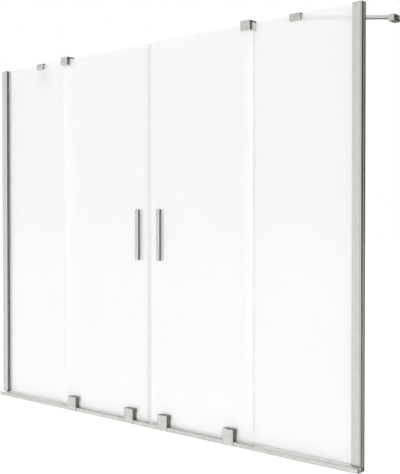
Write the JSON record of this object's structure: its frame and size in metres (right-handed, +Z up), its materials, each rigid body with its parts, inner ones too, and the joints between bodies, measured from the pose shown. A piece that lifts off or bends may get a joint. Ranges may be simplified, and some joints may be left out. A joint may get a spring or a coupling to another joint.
{
  "type": "sliding bath screen",
  "caption": "Framed-edge sliding bath screen with frosted panes: fixed outer panes, sliding middle doors on rail rollers, top guides, bar handles and slanted stabiliser rods to the side walls.",
  "frame": {"origin": "on the underside of the bottom rail, at the middle of its length and of its depth", "axes": "+X along the rail to the right as seen from the room, +Y from the room into the bath, +Z up"},
  "size_m": [1.9, 0.2735, 1.511],
  "materials": {
    "rail_aluminium": "brushed along its length, satin anodised",
    "profile_aluminium": "brushed along its length, satin anodised",
    "brushed_nickel": "fine brushed nickel look",
    "stainless_steel": "plain turned steel",
    "frosted_glass": "acid-etched on one face, so light passes and outlines blur",
    "clear_seal": "milky translucent vinyl",
    "clear_pad": "translucent soft vinyl",
    "white_plastic": "natural nylon",
    "roller_nylon": "natural nylon",
    "stop_plastic": "natural moulded nylon",
    "magnetic_rubber": "white-faced ferrite strip inside the clear seal",
    "pale_gasket": "soft pale glazing gasket"
  },
  "bodies": {
    "frame": {"bottom_rail": "rail_aluminium", "channel_caps": "profile_aluminium", "channel_lock_screws": "stainless_steel", "fixed_pane_left": "frosted_glass", "fixed_pane_right": "frosted_glass", "fixed_pane_seal_left": "clear_seal", "fixed_pane_seal_right": "clear_seal", "grub_screws": "stainless_steel", "guide_liner_left": "white_plastic", "guide_liner_right": "white_plastic", "guide_saddle_left": "brushed_nickel", "guide_saddle_right": "brushed_nickel", "pane_channel_left": "profile_aluminium", "pane_channel_right": "profile_aluminium", "pane_gaskets": "pale_gasket", "rod_clamp_left": "brushed_nickel", "rod_clamp_pads": "clear_pad", "rod_clamp_right": "brushed_nickel", "rod_wall_bracket_left": "brushed_nickel", "rod_wall_bracket_right": "brushed_nickel", "splash_seal": "clear_seal", "stabiliser_rod_left": "brushed_nickel", "stabiliser_rod_right": "brushed_nickel", "track_stops": "stop_plastic", "wall_channel_left": "profile_aluminium", "wall_channel_right": "profile_aluminium"},
    "door_left": {"carriage_left_inner": "brushed_nickel", "carriage_left_outer": "brushed_nickel", "carriage_screws_left": "stainless_steel", "carriage_spacers_left": "clear_pad", "clamp_plates_left": "brushed_nickel", "door_edge_seal_left": "clear_seal", "door_pane_left": "frosted_glass", "drip_seal_left": "clear_seal", "handle_bushes_left": "white_plastic", "handle_screws_left": "stainless_steel", "inner_handle_left": "brushed_nickel", "magnet_seal_left": "clear_seal", "magnet_strip_left": "magnetic_rubber", "outer_handle_left": "brushed_nickel", "roller_axles_left": "stainless_steel"},
    "door_right": {"carriage_right_inner": "brushed_nickel", "carriage_right_outer": "brushed_nickel", "carriage_screws_right": "stainless_steel", "carriage_spacers_right": "clear_pad", "clamp_plates_right": "brushed_nickel", "door_edge_seal_right": "clear_seal", "door_pane_right": "frosted_glass", "drip_seal_right": "clear_seal", "handle_bushes_right": "white_plastic", "handle_screws_right": "stainless_steel", "inner_handle_right": "brushed_nickel", "magnet_seal_right": "clear_seal", "magnet_strip_right": "magnetic_rubber", "outer_handle_right": "brushed_nickel", "roller_axles_right": "stainless_steel"},
    "roller_left_inner_wheel": {"roller_left_inner": "roller_nylon"},
    "roller_left_outer_wheel": {"roller_left_outer": "roller_nylon"},
    "roller_right_inner_wheel": {"roller_right_inner": "roller_nylon"},
    "roller_right_outer_wheel": {"roller_right_outer": "roller_nylon"}
  },
  "joints": [
    {"name": "door_left_slide", "type": "slide", "parent": "frame", "child": "door_left", "axis": [-1, 0, 0], "range_m": [0, 0.38]},
    {"name": "roller_left_outer_spin", "type": "hinge", "parent": "door_left", "child": "roller_left_outer_wheel", "pos_m": [-0.438, -0.0095, 0.02525], "axis": [0, 1, 0], "continuous": true},
    {"name": "roller_left_inner_spin", "type": "hinge", "parent": "door_left", "child": "roller_left_inner_wheel", "pos_m": [-0.093, -0.0095, 0.02525], "axis": [0, 1, 0], "continuous": true},
    {"name": "door_right_slide", "type": "slide", "parent": "frame", "child": "door_right", "axis": [1, 0, 0], "range_m": [0, 0.38]},
    {"name": "roller_right_outer_spin", "type": "hinge", "parent": "door_right", "child": "roller_right_outer_wheel", "pos_m": [0.4185, -0.0095, 0.02525], "axis": [0, 1, 0], "continuous": true},
    {"name": "roller_right_inner_spin", "type": "hinge", "parent": "door_right", "child": "roller_right_inner_wheel", "pos_m": [0.093, -0.0095, 0.02525], "axis": [0, 1, 0], "continuous": true}
  ],
  "couplings": [
    {"joint": "roller_left_outer_spin", "follows": "door_left_slide", "rad_per_m": -83.333},
    {"joint": "roller_left_inner_spin", "follows": "door_left_slide", "rad_per_m": -83.333},
    {"joint": "roller_right_outer_spin", "follows": "door_right_slide", "rad_per_m": 83.333},
    {"joint": "roller_right_inner_spin", "follows": "door_right_slide", "rad_per_m": 83.333}
  ]
}
